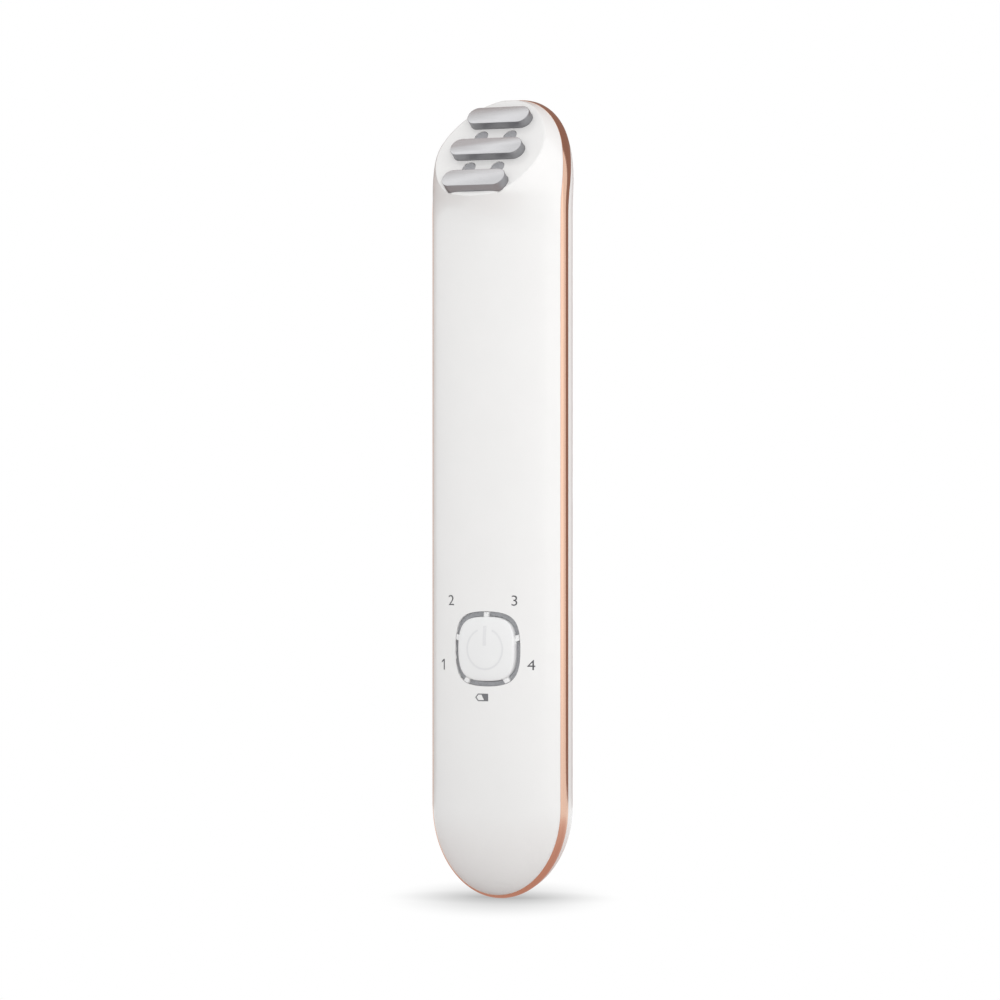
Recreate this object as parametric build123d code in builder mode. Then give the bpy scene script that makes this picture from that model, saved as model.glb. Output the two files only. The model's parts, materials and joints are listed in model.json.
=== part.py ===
"""Hand-held skin tightening wand: crowned two-part shell, trim band, bevelled head with three electrode bars."""

import os
from math import cos, exp, radians, sin, sqrt, tan

from build123d import *

os.makedirs("parts", exist_ok=True)

# +Z runs up the wand, the front faces -Y and +X is on the right of someone who looks at the front.
# Sizes count up from the foot and back from the front crest of the grip. The finished pieces are moved
# so that the origin is at the middle of the flat land on the back, which the wand rests on.

# Outside form
length = 170.0
half_width = 16.1
end_height = 19.3
seam_depth = 5.75
body_depth = 18.0
land_depth = 0.4
wall = 2.0

# Parting line of the two shells: straight on the grip, then swept back round the head
seam_bend_height = length - 17.5
seam_bend_angle = 27.7
seam_bend_spread = 0.7
seam_bend_radius = 30.0

# Bevelled head
bevel_angle = 37.5
bevel_height = length - 11.6
bevel_depth = 1.35
neck_height = length - 29.0
lip_reach = 11.9
hump = 8.0
crease_round = 0.8

# Trim band
band_height = 2.3
band_seat = 1.0
band_proud = 0.2
fit_gap = 0.05

# Electrodes
bar_width = 4.4
bar_proud = 2.0
bar_bevel = 0.5
bar_pitch = 8.7
upper_bar_length = 14.9
middle_bar_length = 17.2
lower_bar_length = 15.1
flange_lip = 0.3
flange_end_inset = 2.0
flange_thickness = 0.8

# Light windows between the electrodes
window_radius = 1.55
window_spacing = 7.0
window_recess = 0.1
led_size = 2.0
led_height = 1.4

# Head stack behind the bevelled wall
carrier_thickness = 2.0
head_board_gap = 1.0
board_thickness = 1.0
head_board_width = 15.6
head_board_length = 20.0
head_screw_radius = 0.7
head_boss_radius = 1.6
contact_pin_radius = 0.6
sensor_offset = 4.5

# Power button and light ring
button_height = 53.0
ring_size = 15.9
corner_pull = 0.8
ring_width = 1.0
ring_recess = 0.6
rib_width = 1.2
rib_count = 5
button_travel = 0.4
button_proud = 0.8
button_dome_radius = 40.0
button_edge = 0.4
button_plate = 2.4
button_skirt = 1.2
button_gap = 0.1
stem_radius = 4.0
frame_size = 19.6
frame_front = 3.2
frame_thickness = 1.6
foot_radius = 0.8
foot_place = 10.0
baffle_thickness = 0.8
baffle_length = 3.0
baffle_gap = 0.1
switch_size = 4.6
switch_height = 1.6
plunger_radius = 1.0
plunger_proud = 0.5
plunger_length = 0.8
plunger_room = 0.1

# Main board and what it carries
board_front = 6.4
board_side_gap = 2.1
board_width = 2 * (half_width - wall - board_side_gap)
board_length = 54.0
board_centre = button_height + 3.0
board_corner = 2.0
screw_side_inset = 2.0
screw_inset = 4.0
screw_radius = 0.9
screw_head_radius = 1.8
screw_head_height = 1.2
screw_length = 3.8
boss_radius = 2.1
hole_gap = 0.2
indicator_size = 1.6
indicator_height = 0.7
chip_height = 0.9
chip_places = {(-5, -2): (7, 7), (6, 0): (5, 6), (-6, -16): (4, 5), (6, -16): (4, 4)}
coil_width = 7.0
coil_length = 5.6
coil_height = 6.2
core_leg = 3.0
core_width = 12.0
core_length = 10.0
core_height = 5.0
core_yoke = 1.8
transformer_rise = 10.0
capacitor_radius = 3.0
capacitor_length = 11.0
capacitor_rise = -10.0
connector_height = 1.5
connector_length = 4.0
connector_lip = 0.5

# Battery
cell_side_gap = 5.1
cell_board_gap = 8.0
cell_head_gap = 4.0
pad_thickness = 1.8
cell_front = 8.6
cell_width = 2 * (half_width - wall - cell_side_gap)
cell_bottom = board_centre + board_length / 2 + cell_board_gap
cell_length = neck_height - cell_head_gap - cell_bottom
cell_thickness = body_depth - wall - pad_thickness - cell_front
cell_edge = 1.5
protection_width = 16.0
protection_length = 3.6
protection_thickness = 1.0
stop_thickness = 1.2
pad_width = 12.0
pad_inset = 4.0
lead_radius = 0.5
lead_x = -5.4
lead_spacing = 2.6

# Charging contacts on the back
charge_height = board_centre - 22.0
charge_spacing = 10.0
charge_head_radius = 1.5
charge_pin_radius = 0.9
charge_recess = 0.2
charge_head_length = 3.0

# Contacts and sensor behind the electrodes
sensor_radius = 0.7
sensor_length = 1.1
sensor_lead_radius = 0.3
head_screw_head_radius = 1.4
head_screw_head_height = 0.8
head_screw_length = 3.4

# Flat cable from the main board to the head
cable_x = 4.5
cable_width = 5.0
cable_thickness = 0.3
cable_overlap = 6.0
cable_rise = 6.0
cable_bend = 6.0

end_centre = length - end_height
reach = 60.0

# Planes that the sketches are drawn on
bevel_plane = Plane(
    origin=(0, bevel_depth, bevel_height),
    x_dir=(1, 0, 0),
    z_dir=(0, -cos(radians(bevel_angle)), sin(radians(bevel_angle))),
)


def facing(depth, height=0.0):
    """A plane that faces the front, at a depth behind the front crest."""
    return Plane(origin=(0, depth, height), x_dir=(1, 0, 0), z_dir=(0, -1, 0))


def bevel_y(z):
    """Depth of the bevelled face at a height."""
    return bevel_depth + (z - bevel_height) * tan(radians(bevel_angle))


def seam_y(z):
    """Depth of the parting line at a height."""
    turn = radians(seam_bend_angle)
    start = seam_bend_height - seam_bend_radius * tan(turn / 2)
    end = start + seam_bend_radius * sin(turn)
    if z <= start:
        return seam_depth
    if z <= end:
        return seam_depth + seam_bend_radius - sqrt(seam_bend_radius**2 - (z - start) ** 2)
    return seam_depth + (z - seam_bend_height) * tan(turn)


def ease(z, low, high):
    """A smooth step from 0 at the low height to 1 at the high one."""
    t = min(1.0, max(0.0, (z - low) / (high - low)))
    return t * t * (3 - 2 * t)


lip_height = bevel_height - lip_reach * cos(radians(bevel_angle))
neck_rate = -bevel_y(lip_height) / (lip_height - neck_height) ** 2


def crest_y(z):
    """Depth of the front crest before the bevel is cut: flat grip, concave neck, hump under the bevel."""
    if z <= neck_height:
        return 0.0
    if z <= lip_height:
        return -neck_rate * (z - neck_height) ** 2
    rise = tan(radians(bevel_angle)) + 2 * neck_rate * (lip_height - neck_height)
    return bevel_y(z) - hump * (1 - exp(-(z - lip_height) * rise / hump))


def outline(z, half, crest, seam, back, shoulder, cheek):
    """One closed cross-section of the wand, four curves that meet at the crest, the seam and the back."""
    front_x, front_y = shoulder * half, seam - cheek * (seam - crest)
    rear_x, rear_y = 0.62 * half, seam + 0.6 * (back - seam)
    curves = (
        ((0, crest), (front_x, crest), (half, front_y), (half, seam)),
        ((half, seam), (half, rear_y), (rear_x, back), (0, back)),
        ((0, back), (-rear_x, back), (-half, rear_y), (-half, seam)),
        ((-half, seam), (-half, front_y), (-front_x, crest), (0, crest)),
    )
    # Made as loose edges, because a line builder merges smooth neighbours and the loft needs all four
    return Face(Wire([Edge.make_bezier(*[(x, y, z) for x, y in curve]) for curve in curves]))


def grip_section(z, inset, share=1.0):
    """A grip section, drawn in towards the seam by its share of the full width."""
    half = (half_width - inset) * share
    crest = seam_depth - (seam_depth - inset) * share
    back = seam_depth + (body_depth - inset - seam_depth) * share
    return outline(z, half, crest, seam_depth, back, 0.552, 0.552)


def head_section(z, inset):
    """A head section: the shoulders square up and the cheeks flatten towards the top."""
    rise = max(0.0, z - end_centre) / (end_height - inset)
    share = sqrt(max(0.0, 1 - rise**2))
    half = (half_width - inset) * share
    seam = seam_y(z)
    tip = seam_y(length)
    back = tip + (body_depth - inset - tip) * share
    crest = inset + crest_y(z - 0.4 * inset)
    at_lip = ease(z, neck_height, lip_height + 2)
    at_top = ease(z, lip_height + 2, bevel_height + 5)
    shoulder = 0.552 - 0.052 * at_lip + 0.35 * at_top
    cheek = 0.552 - 0.302 * at_lip + 0.2 * at_top
    return outline(z, half, crest, seam, back, shoulder, cheek)


def wand_form(inset):
    """The wand's outside form, drawn in by an inset or grown by a negative one."""
    foot_angles = (84, 72, 60, 45, 30, 15, 0)
    crown_angles = (0, 8, 16, 25, 35, 45, 55, 65, 75, 84)
    reach_end = end_height - inset
    foot = [
        grip_section(end_height - reach_end * sin(radians(a)), inset, cos(radians(a))) for a in foot_angles
    ]
    neck = [neck_height + step for step in (0, 2, 4, 6, 8)]
    crown = [end_centre + reach_end * sin(radians(a)) for a in crown_angles]
    head = [head_section(z, inset) for z in neck + crown]
    with BuildPart() as form:
        loft(sections=foot)
        extrude(foot[-1], amount=neck[0] - end_height)
        loft(sections=head)
        split(bisect_by=bevel_plane.offset(-inset), keep=Keep.BOTTOM)
    return form.part


def zone(near, far):
    """All that lies between the parting line moved by two depths, wider where it is swept back."""
    turn = radians(seam_bend_angle)
    top = seam_bend_height + reach
    swept = reach * tan(turn)
    with BuildPart() as slab:
        with BuildSketch(Plane.YZ):
            with BuildLine():
                lines = []
                for shift in (near, far):
                    y = seam_depth + shift
                    bend = seam_bend_height - seam_bend_spread * shift
                    corners = ((y, -reach), (y, bend), (y + swept, top))
                    lines.append(FilletPolyline(*corners, radius=seam_bend_radius))
                Line(lines[0] @ 0, lines[1] @ 0)
                Line(lines[0] @ 1, lines[1] @ 1)
            make_face()
        extrude(amount=reach, both=True)
    return slab.part


# Shared forms: outside with its rounded crease, cavity, and the levels between them
with BuildPart() as outside:
    add(wand_form(0))
    face = outside.faces().sort_by(Axis((0, 0, 0), bevel_plane.z_dir)).filter_by(GeomType.PLANE)[-1]
    fillet(face.edges(), crease_round)
outer_form = outside.part
cavity_form = wand_form(wall)
inner_limit = wand_form(wall + 2 * fit_gap)
boss_limit = wand_form(wall / 2)
seat_form = wand_form(band_seat)

with BuildPart() as band_channel:
    add(zone(-band_height / 2, band_height / 2))
    add(seat_form, mode=Mode.SUBTRACT)


def squircle(size):
    """The button's outline, between a circle and a square."""
    half = size / 2
    pull = corner_pull * half
    with BuildSketch() as shape:
        with BuildLine():
            for sx, sy in ((1, 1), (-1, -1)):
                Bezier((sx * half, 0), (sx * half, sy * pull), (sx * pull, sy * half), (0, sy * half))
                Bezier((0, sy * half), (-sx * pull, sy * half), (-sx * half, sy * pull), (-sx * half, 0))
        make_face()
    return shape.sketch


rib_step = 360 / rib_count

# Places on the bevelled face, across and up the slope
bar_places = {"lower": -bar_pitch, "middle": 0.0, "upper": bar_pitch}
bar_lengths = {"lower": lower_bar_length, "middle": middle_bar_length, "upper": upper_bar_length}
window_rows = {"lower": -bar_pitch / 2, "upper": bar_pitch / 2}
window_sides = {"left": -window_spacing / 2, "right": window_spacing / 2}
window_places = [(x, y) for y in window_rows.values() for x in window_sides.values()]
head_screw_places = [(0, y) for y in window_rows.values()]

flange_lengths = {name: size - 2 * flange_end_inset for name, size in bar_lengths.items()}
flange_room = flange_lip + fit_gap

# Depths behind the bevelled face
carrier_top = wall + flange_thickness
carrier_back = carrier_top + carrier_thickness
head_board_top = carrier_back + head_board_gap
head_board_back = head_board_top + board_thickness
led_top = head_board_top - led_height

# Places on the main board, across and up
screw_x = board_width / 2 - screw_side_inset
screw_rise = board_length / 2 - screw_inset
screw_places = [(x, y) for x in (-screw_x, screw_x) for y in (-screw_rise, screw_rise)]
board_back = board_front + board_thickness
charge_places = [(-charge_spacing / 2, 0), (charge_spacing / 2, 0)]

# Moulded bosses of the front shell, run up into its wall
with BuildPart() as front_bosses:
    with BuildSketch(facing(board_front, board_centre)):
        with Locations(*screw_places):
            Circle(boss_radius)
    extrude(amount=board_front)
    add(boss_limit, mode=Mode.INTERSECT)

with BuildPart() as head_bosses:
    with BuildSketch(bevel_plane.offset(-head_board_top)):
        with Locations(*head_screw_places):
            Circle(head_boss_radius)
    extrude(amount=head_board_top - wall / 2)

# Front shell with its bevelled head
with BuildPart() as front_shell:
    add(outer_form)
    add(cavity_form, mode=Mode.SUBTRACT)
    add(zone(-reach, -fit_gap), mode=Mode.INTERSECT)
    add(band_channel.part, mode=Mode.SUBTRACT)
    add(front_bosses.part)
    add(head_bosses.part)
    with BuildSketch(bevel_plane):
        for name, place in bar_places.items():
            with Locations((0, place)):
                SlotOverall(bar_lengths[name] + 2 * fit_gap, bar_width + 2 * fit_gap)
        with Locations(*window_places):
            Circle(window_radius + fit_gap)
    extrude(amount=-wall, mode=Mode.SUBTRACT)
    with BuildSketch(bevel_plane.offset(-wall)):
        for name, place in bar_places.items():
            with Locations((0, place)):
                SlotOverall(flange_lengths[name] + 2 * fit_gap, bar_width + 2 * flange_room)
    extrude(amount=-flange_thickness, mode=Mode.SUBTRACT)
    with BuildSketch(bevel_plane.offset(-head_board_top)):
        with Locations(*head_screw_places):
            Circle(head_screw_radius + fit_gap)
    extrude(amount=head_screw_length - board_thickness + hole_gap, mode=Mode.SUBTRACT)
    with BuildSketch(facing(board_front, board_centre)):
        with Locations(*screw_places):
            Circle(screw_radius + fit_gap)
    extrude(amount=screw_length - board_thickness + hole_gap, mode=Mode.SUBTRACT)
    with BuildSketch(facing(seam_depth, button_height)):
        add(squircle(ring_size))
    extrude(amount=reach, mode=Mode.SUBTRACT)

# Rear shell, with a flat land on its back, ribs that stop the cell and holes for the charging contacts
with BuildPart() as cell_stops:
    for height in (cell_bottom - protection_length - stop_thickness, cell_bottom + cell_length):
        with BuildSketch(Plane.XY.offset(height)):
            with Locations((0, body_depth)):
                Rectangle(2 * half_width, 2 * (body_depth - cell_front))
        extrude(amount=stop_thickness)
    add(boss_limit, mode=Mode.INTERSECT)

with BuildPart() as rear_shell:
    add(outer_form)
    add(cavity_form, mode=Mode.SUBTRACT)
    add(cell_stops.part)
    add(zone(fit_gap, reach), mode=Mode.INTERSECT)
    add(band_channel.part, mode=Mode.SUBTRACT)
    split(bisect_by=Plane.XZ.offset(-(body_depth - land_depth)), keep=Keep.TOP)
    with BuildSketch(facing(body_depth, charge_height)):
        with Locations(*charge_places):
            Circle(charge_head_radius + fit_gap)
    extrude(amount=body_depth - seam_depth - band_height, mode=Mode.SUBTRACT)

# Trim band in the channel between the shells
with BuildPart() as trim_band:
    add(wand_form(-band_proud))
    add(wand_form(band_seat - fit_gap), mode=Mode.SUBTRACT)
    add(zone(fit_gap - band_height / 2, band_height / 2 - fit_gap), mode=Mode.INTERSECT)

pieces = {"front_shell": front_shell.part, "rear_shell": rear_shell.part, "trim_band": trim_band.part}

# Electrode bars, each with a flange under the wall along its long sides
for name, place in bar_places.items():
    with BuildPart() as electrode:
        with BuildSketch(bevel_plane.offset(-wall)):
            with Locations((0, place)):
                SlotOverall(flange_lengths[name], bar_width + 2 * flange_lip)
        extrude(amount=-flange_thickness)
        with BuildSketch(bevel_plane.offset(-wall)):
            with Locations((0, place)):
                SlotOverall(bar_lengths[name], bar_width)
        extrude(amount=wall + bar_proud)
        top = electrode.faces().sort_by(Axis((0, 0, 0), bevel_plane.z_dir))[-1]
        chamfer(top.edges(), bar_bevel)
    pieces[f"electrode_{name}"] = electrode.part

# Round light windows, each a light pipe from the face to its lamp
for row, y in window_rows.items():
    for side, x in window_sides.items():
        with BuildPart() as window:
            with BuildSketch(bevel_plane.offset(-window_recess)):
                with Locations((x, y)):
                    Circle(window_radius)
            extrude(amount=window_recess + fit_gap - led_top)
        pieces[f"window_{row}_{side}"] = window.part


def head_layer(top, thickness):
    """A layer that fills the head's cavity between two depths behind the bevelled face."""
    with BuildPart() as layer:
        with BuildSketch(bevel_plane.offset(-top)):
            Rectangle(reach, reach)
        extrude(amount=-thickness)
        add(inner_limit, mode=Mode.INTERSECT)
    return layer.part


# Seal round the electrode flanges
with BuildPart() as head_seal:
    add(head_layer(wall + fit_gap, flange_thickness - fit_gap))
    with BuildSketch(bevel_plane.offset(-carrier_top)):
        for name, place in bar_places.items():
            with Locations((0, place)):
                SlotOverall(flange_lengths[name] + 2 * fit_gap, bar_width + 2 * flange_room)
        with Locations(*window_places):
            Circle(window_radius + fit_gap)
        with Locations(*head_screw_places):
            Circle(head_boss_radius + fit_gap)
    extrude(amount=flange_thickness, mode=Mode.SUBTRACT)
pieces["head_seal"] = head_seal.part

# Carrier plate that clamps the electrodes against the wall, with tunnels for lamps, pins and sensor
with BuildPart() as electrode_carrier:
    add(head_layer(carrier_top, carrier_thickness))
    with BuildSketch(bevel_plane.offset(-carrier_back)):
        with Locations(*window_places):
            Circle(window_radius + fit_gap)
        with Locations(*head_screw_places):
            Circle(head_boss_radius + fit_gap)
        with Locations(*[(0, place) for place in bar_places.values()]):
            Circle(contact_pin_radius + fit_gap)
        with Locations((sensor_offset, 0)):
            Circle(sensor_radius + fit_gap)
    extrude(amount=carrier_thickness, mode=Mode.SUBTRACT)
pieces["electrode_carrier"] = electrode_carrier.part

# Board behind the electrodes
with BuildPart() as head_board:
    with BuildSketch(bevel_plane.offset(-head_board_top)):
        RectangleRounded(head_board_width, head_board_length, board_corner)
        with Locations(*head_screw_places):
            Circle(head_screw_radius + hole_gap, mode=Mode.SUBTRACT)
    extrude(amount=-board_thickness)
    add(inner_limit, mode=Mode.INTERSECT)
pieces["head_board"] = head_board.part

with BuildPart() as treatment_lamps:
    with BuildSketch(bevel_plane.offset(-head_board_top)):
        with Locations(*window_places):
            RectangleRounded(led_size, led_size, led_size / 5)
    extrude(amount=led_height)
pieces["treatment_lamps"] = treatment_lamps.part

with BuildPart() as contact_pins:
    with BuildSketch(bevel_plane.offset(-head_board_top)):
        with Locations(*[(0, place) for place in bar_places.values()]):
            Circle(contact_pin_radius)
    extrude(amount=head_board_top - carrier_top)
pieces["contact_pins"] = contact_pins.part

with BuildPart() as temperature_sensor:
    with BuildSketch(bevel_plane.offset(-head_board_top)):
        with Locations((sensor_offset, 0)):
            Circle(sensor_lead_radius)
    extrude(amount=head_board_top - carrier_top)
    with BuildSketch(bevel_plane.offset(-carrier_top)):
        with Locations((sensor_offset, 0)):
            Circle(sensor_radius)
    extrude(amount=-sensor_length)
pieces["temperature_sensor"] = temperature_sensor.part

with BuildPart() as head_screws:
    with BuildSketch(bevel_plane.offset(-head_board_back)):
        with Locations(*head_screw_places):
            Circle(head_screw_radius)
    extrude(amount=head_screw_length)
    with BuildSketch(bevel_plane.offset(-head_board_back)):
        with Locations(*head_screw_places):
            Circle(head_screw_head_radius)
    extrude(amount=-head_screw_head_height)
pieces["head_screws"] = head_screws.part

# Power button: domed cap with five ribs, a skirt and a stem that pushes the switch
ring_inner = ring_size - 2 * ring_width
plunger_top = board_front - switch_height - plunger_proud
with BuildPart() as button_ribs:
    with BuildSketch(facing(button_plate, button_height)):
        with PolarLocations(0, rib_count, start_angle=90):
            Rectangle(ring_size, rib_width, align=(Align.MIN, Align.CENTER))
        add(squircle(ring_size - 2 * button_gap), mode=Mode.INTERSECT)
    extrude(amount=reach)
    add(outer_form, mode=Mode.INTERSECT)

with BuildPart() as power_button:
    with BuildSketch(facing(button_plate, button_height)):
        add(squircle(ring_inner - 2 * button_gap))
    extrude(amount=reach / 2)
    with Locations((0, button_dome_radius - button_proud, button_height)):
        Sphere(button_dome_radius, mode=Mode.INTERSECT)
    fillet(power_button.faces().sort_by(Axis.Y)[0].edges(), button_edge)
    add(button_ribs.part)
    with BuildSketch(facing(button_plate, button_height)):
        add(squircle(ring_inner - 2 * button_gap - 2 * button_skirt))
    extrude(amount=button_plate - button_skirt, mode=Mode.SUBTRACT)
    with BuildSketch(facing(plunger_top, button_height)):
        Circle(stem_radius)
    extrude(amount=plunger_top - button_plate / 2)
pieces["power_button"] = power_button.part


def light_segment(middle, gap):
    """Outline of the piece of the light ring between two ribs, grown by a gap all round."""
    half_step = radians(rib_step / 2)
    side = radians(middle)
    fan = [(reach * cos(side + k * half_step), reach * sin(side + k * half_step)) for k in (-1, 0, 1)]
    with BuildSketch() as shape:
        add(squircle(ring_size - 2 * fit_gap + 2 * gap))
        add(squircle(ring_inner - 2 * gap), mode=Mode.SUBTRACT)
        with BuildLine():
            Polyline((0, 0), *fan, close=True)
        make_face(mode=Mode.INTERSECT)
        with PolarLocations(0, rib_count, start_angle=90):
            Rectangle(
                ring_size,
                rib_width + 2 * button_gap - 2 * gap,
                align=(Align.MIN, Align.CENTER),
                mode=Mode.SUBTRACT,
            )
    return shape.sketch


# Light ring: five light guides, four for the levels and one for the battery
segment_angles = {
    "level_1_light": 198,
    "level_2_light": 126,
    "level_3_light": 54,
    "level_4_light": -18,
    "battery_light": 270,
}
ring_form = wand_form(ring_recess)
frame_back = frame_front + frame_thickness
for name, middle in segment_angles.items():
    with BuildPart() as segment:
        with BuildSketch(facing(frame_back, button_height)):
            add(light_segment(middle, 0))
        extrude(amount=reach)
        add(ring_form, mode=Mode.INTERSECT)
    pieces[name] = segment.part

# Frame that carries the light ring and keeps the lamps apart
ring_middle = (ring_size - ring_width) / 2
with BuildPart() as light_frame:
    with BuildSketch(facing(frame_back, button_height)):
        add(squircle(frame_size))
        Circle(stem_radius + button_gap, mode=Mode.SUBTRACT)
        for middle in segment_angles.values():
            add(light_segment(middle, fit_gap), mode=Mode.SUBTRACT)
    extrude(amount=frame_thickness)
    with BuildSketch(facing(board_front - baffle_gap, button_height)):
        with PolarLocations(ring_middle - baffle_length / 2, rib_count, start_angle=90):
            Rectangle(baffle_length, baffle_thickness, align=(Align.MIN, Align.CENTER))
    extrude(amount=board_front - baffle_gap - frame_back)
    with BuildSketch(facing(board_front, button_height)):
        with PolarLocations(foot_place, 4, start_angle=45):
            Circle(foot_radius)
    extrude(amount=board_front - frame_back)
    add(inner_limit, mode=Mode.INTERSECT)
pieces["light_frame"] = light_frame.part

# Tactile switch under the button, and the plunger that moves with the button
with BuildPart() as power_switch:
    with BuildSketch(facing(board_front, button_height)):
        RectangleRounded(switch_size, switch_size, switch_size / 10)
    extrude(amount=switch_height)
    with BuildSketch(facing(board_front - switch_height, button_height)):
        Circle(plunger_radius + fit_gap)
    extrude(amount=-(plunger_length - plunger_proud + button_travel + plunger_room), mode=Mode.SUBTRACT)
pieces["power_switch"] = power_switch.part

with BuildPart() as switch_plunger:
    with BuildSketch(facing(plunger_top, button_height)):
        Circle(plunger_radius)
    extrude(amount=-plunger_length)
pieces["switch_plunger"] = switch_plunger.part

# Main board, its screws and its lamps
with BuildPart() as main_board:
    with BuildSketch(facing(board_front, board_centre)):
        RectangleRounded(board_width, board_length, board_corner)
        with Locations(*screw_places):
            Circle(screw_radius + hole_gap, mode=Mode.SUBTRACT)
    extrude(amount=-board_thickness)
pieces["main_board"] = main_board.part

with BuildPart() as board_screws:
    with BuildSketch(facing(board_back, board_centre)):
        with Locations(*screw_places):
            Circle(screw_radius)
    extrude(amount=screw_length)
    with BuildSketch(facing(board_back, board_centre)):
        with Locations(*screw_places):
            Circle(screw_head_radius)
    extrude(amount=-screw_head_height)
pieces["board_screws"] = board_screws.part

with BuildPart() as indicator_lamps:
    with BuildSketch(facing(board_front, button_height)):
        with PolarLocations(ring_middle, rib_count, start_angle=90 + rib_step / 2):
            Rectangle(indicator_size / 2, indicator_size)
    extrude(amount=indicator_height)
pieces["indicator_lamps"] = indicator_lamps.part

# Parts on the back of the main board
with BuildPart() as board_chips:
    with BuildSketch(facing(board_back, board_centre)):
        for place, size in chip_places.items():
            with Locations(place):
                Rectangle(*size)
    extrude(amount=-chip_height)
pieces["board_chips"] = board_chips.part

board_top = board_centre + board_length / 2
with BuildPart() as board_connectors:
    with BuildSketch(facing(board_back, board_top - cable_overlap - connector_length / 2)):
        with Locations((cable_x, 0)):
            Rectangle(cable_width + 2 * connector_lip, connector_length)
    extrude(amount=-connector_height)
    with BuildSketch(facing(board_back, board_top - connector_length)):
        with Locations((lead_x, 0)):
            Rectangle(lead_spacing + 2 * lead_radius + 2 * connector_lip, connector_length)
    extrude(amount=-connector_height)
pieces["board_connectors"] = board_connectors.part

transformer_height = board_centre + transformer_rise
coil_front = board_back + fit_gap
core_front = coil_front + (coil_height - core_height) / 2
with BuildPart() as transformer_core:
    with BuildSketch(facing(core_front, transformer_height)):
        Rectangle(core_width, core_length)
        Rectangle(core_width - 2 * core_yoke, core_length - 2 * core_yoke, mode=Mode.SUBTRACT)
        Rectangle(core_leg, core_length)
    extrude(amount=-core_height)
pieces["transformer_core"] = transformer_core.part

with BuildPart() as transformer_coil:
    with BuildSketch(Plane.XY.offset(transformer_height - coil_length / 2)):
        with Locations((0, coil_front + coil_height / 2)):
            RectangleRounded(coil_width, coil_height, coil_height / 5)
            Rectangle(core_leg + 2 * fit_gap, core_height + 2 * fit_gap, mode=Mode.SUBTRACT)
    extrude(amount=coil_length)
pieces["transformer_coil"] = transformer_coil.part

with BuildPart() as filter_capacitor:
    with BuildSketch(Plane.YZ.offset(-capacitor_length / 2)):
        with Locations((board_back + capacitor_radius, board_centre + capacitor_rise)):
            Circle(capacitor_radius)
    extrude(amount=capacitor_length)
    fillet(filter_capacitor.edges().filter_by(GeomType.CIRCLE), capacitor_radius / 8)
pieces["filter_capacitor"] = filter_capacitor.part

# Battery cell, its protection board, the foam behind it and its leads
with BuildPart() as battery_cell:
    with BuildSketch(facing(cell_front, cell_bottom + cell_length / 2)):
        RectangleRounded(cell_width, cell_length - 2 * fit_gap, cell_edge)
    extrude(amount=-cell_thickness)
    fillet(battery_cell.edges().filter_by(Axis.Z), cell_edge)
pieces["battery_cell"] = battery_cell.part

with BuildPart() as battery_protection:
    with BuildSketch(facing(cell_front, cell_bottom - protection_length / 2)):
        Rectangle(protection_width, protection_length - 2 * fit_gap)
    extrude(amount=-protection_thickness)
pieces["battery_protection"] = battery_protection.part

with BuildPart() as battery_pad:
    with BuildSketch(facing(cell_front + cell_thickness, cell_bottom + cell_length / 2)):
        RectangleRounded(pad_width, cell_length - 2 * pad_inset, cell_edge)
    extrude(amount=-reach)
    add(inner_limit, mode=Mode.INTERSECT)
pieces["battery_pad"] = battery_pad.part

with BuildPart() as battery_leads:
    with BuildSketch(Plane.XY.offset(board_top - connector_length / 2)):
        with Locations(*[(lead_x + k * lead_spacing / 2, cell_front - lead_radius) for k in (-1, 1)]):
            Circle(lead_radius)
    extrude(amount=cell_bottom - protection_length / 2 - board_top + connector_length / 2)
pieces["battery_leads"] = battery_leads.part

# Charging contacts: flush heads in the back, pins to the main board
rest_depth = body_depth - land_depth
with BuildPart() as charge_contacts:
    with BuildSketch(facing(rest_depth - charge_recess, charge_height)):
        with Locations(*charge_places):
            Circle(charge_head_radius)
    extrude(amount=charge_head_length)
    with BuildSketch(facing(rest_depth - charge_recess, charge_height)):
        with Locations(*charge_places):
            Circle(charge_pin_radius)
    extrude(amount=rest_depth - charge_recess - board_back)
pieces["charge_contacts"] = charge_contacts.part


def behind_bevel(rise, depth):
    """Y and Z of a point up the slope and behind the bevelled face."""
    turn = radians(bevel_angle)
    y = bevel_depth + rise * sin(turn) + depth * cos(turn)
    return y, bevel_height + rise * cos(turn) - depth * sin(turn)


# Flat cable, up from the main board, past the cell and onto the back of the head board
cable_y = board_back + cable_thickness / 2
cable_depth = head_board_back + cable_thickness / 2
turn_rise = (cable_y - behind_bevel(0, cable_depth)[0]) / sin(radians(bevel_angle))
with BuildPart() as flex_cable:
    with BuildSketch(Plane.YZ.offset(cable_x - cable_width / 2)):
        with BuildLine():
            FilletPolyline(
                (cable_y, board_top - cable_overlap),
                behind_bevel(turn_rise, cable_depth),
                behind_bevel(cable_rise, cable_depth),
                radius=cable_bend,
            )
        trace(line_width=cable_thickness)
    extrude(amount=cable_width)
pieces["flex_cable"] = flex_cable.part

for label, solid in pieces.items():
    placed = solid.moved(Location((0, -rest_depth, -length / 2)))
    placed.label = label
    export_step(placed, f"parts/{label}.step")
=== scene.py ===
"""Looks of a slim white skin tightening wand with a rose gold trim band and a bevelled electrode head."""

import json
import logging
from dataclasses import dataclass
from enum import Enum
from math import cos, exp, pi, radians, sin, sqrt, tan
from typing import Callable, Sequence

import bpy
from mathutils import Matrix, Vector

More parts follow.
